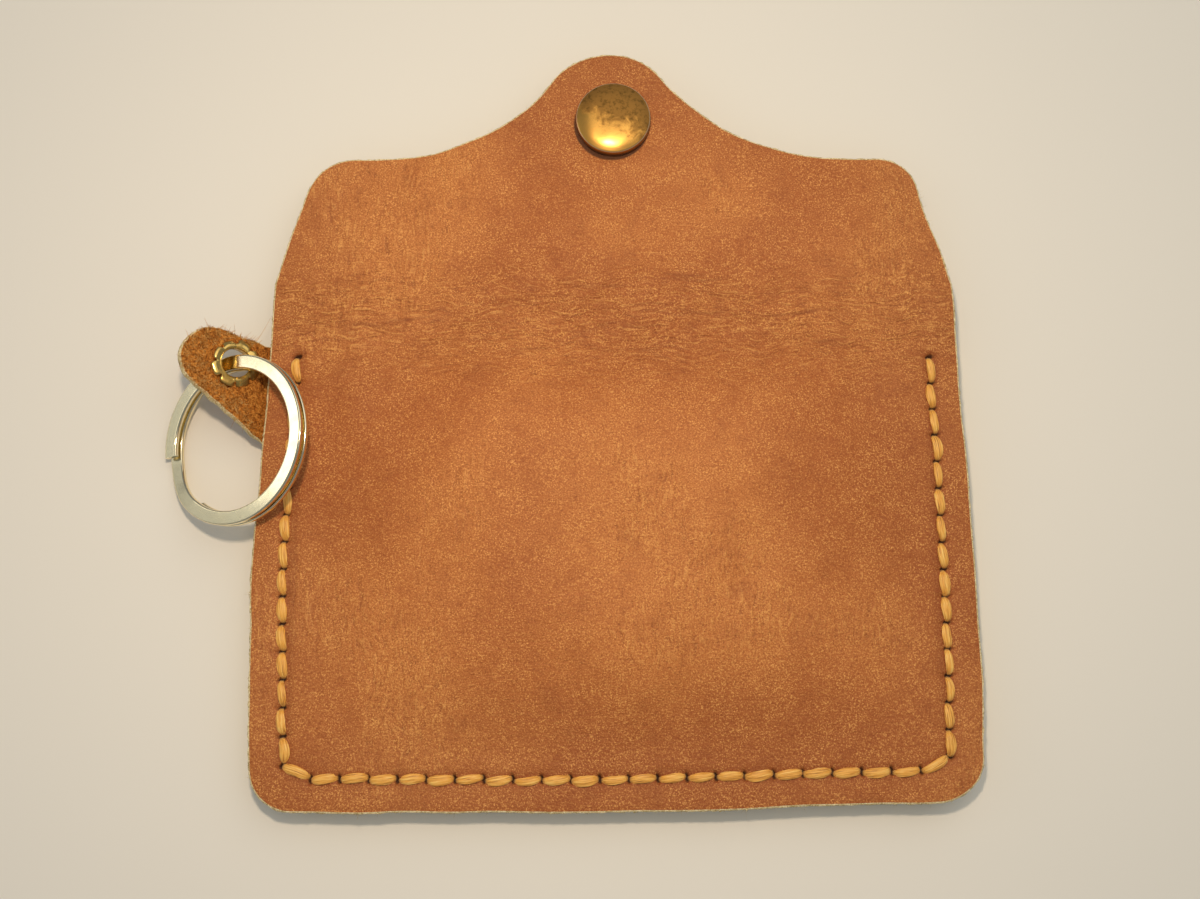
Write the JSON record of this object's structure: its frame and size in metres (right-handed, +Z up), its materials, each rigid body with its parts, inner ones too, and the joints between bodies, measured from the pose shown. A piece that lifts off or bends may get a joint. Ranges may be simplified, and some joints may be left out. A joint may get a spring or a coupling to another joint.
{
  "type": "keychain card wallet",
  "caption": "Leather card wallet with a saddle-stitched pocket, a snap flap that folds over its mouth, and a key tab with a split ring.",
  "frame": {"origin": "middle of the underside of the box around the wallet, on the table, with the wallet face down and its flap open", "axes": "+X across the body away from the key tab, +Y from the body towards the flap's tip, +Z up from the table"},
  "size_m": [0.1176, 0.1128, 0.0124],
  "materials": {
    "grain_leather": "matt warm brown oiled nubuck with fine pale speckle",
    "rough_leather": "rough flesh side with short fibres",
    "waxed_thread": "golden tan waxed thread",
    "antique_brass": "antique brass, lightly brushed",
    "bright_brass": "bright brass",
    "polished_nickel": "polished nickel plate",
    "spring_steel": "bare spring wire"
  },
  "bodies": {
    "body": {"back_panel": "grain_leather", "front_panel": "grain_leather", "tab_root": "rough_leather", "stitch_thread": "waxed_thread", "snap_stud": "antique_brass", "snap_post": "antique_brass"},
    "fold": {"fold_strip": "grain_leather"},
    "flap": {"flap": "grain_leather", "snap_cap": "antique_brass", "snap_socket": "antique_brass", "snap_spring_ring": "spring_steel"},
    "key_tab": {"tab_end": "rough_leather", "tab_eyelet": "bright_brass"},
    "key_ring": {"split_ring": "polished_nickel"}
  },
  "joints": [
    {"name": "fold_bend_1", "type": "hinge", "parent": "body", "child": "fold", "pos_m": [0.00757, 0.01137, 0.0045], "axis": [-1, 0, 0], "range_deg": [-12, 90]},
    {"name": "fold_bend_2", "type": "hinge", "parent": "fold", "child": "flap", "pos_m": [0.00757, 0.01852, 0.0045], "axis": [-1, 0, 0], "range_deg": [-12, 90]},
    {"name": "key_tab_bend", "type": "hinge", "parent": "body", "child": "key_tab", "pos_m": [-0.04373, 0.00295, 0.003], "axis": [0, -1, 0], "range_deg": [0, 45]},
    {"name": "key_ring_swing", "type": "hinge", "parent": "key_tab", "child": "key_ring", "pos_m": [-0.04809, 0.00705, 0.00583], "axis": [0, -1, 0], "range_deg": [0, 60]}
  ],
  "couplings": [
    {"joint": "fold_bend_1", "follows": "fold_bend_2", "ratio": 1}
  ]
}
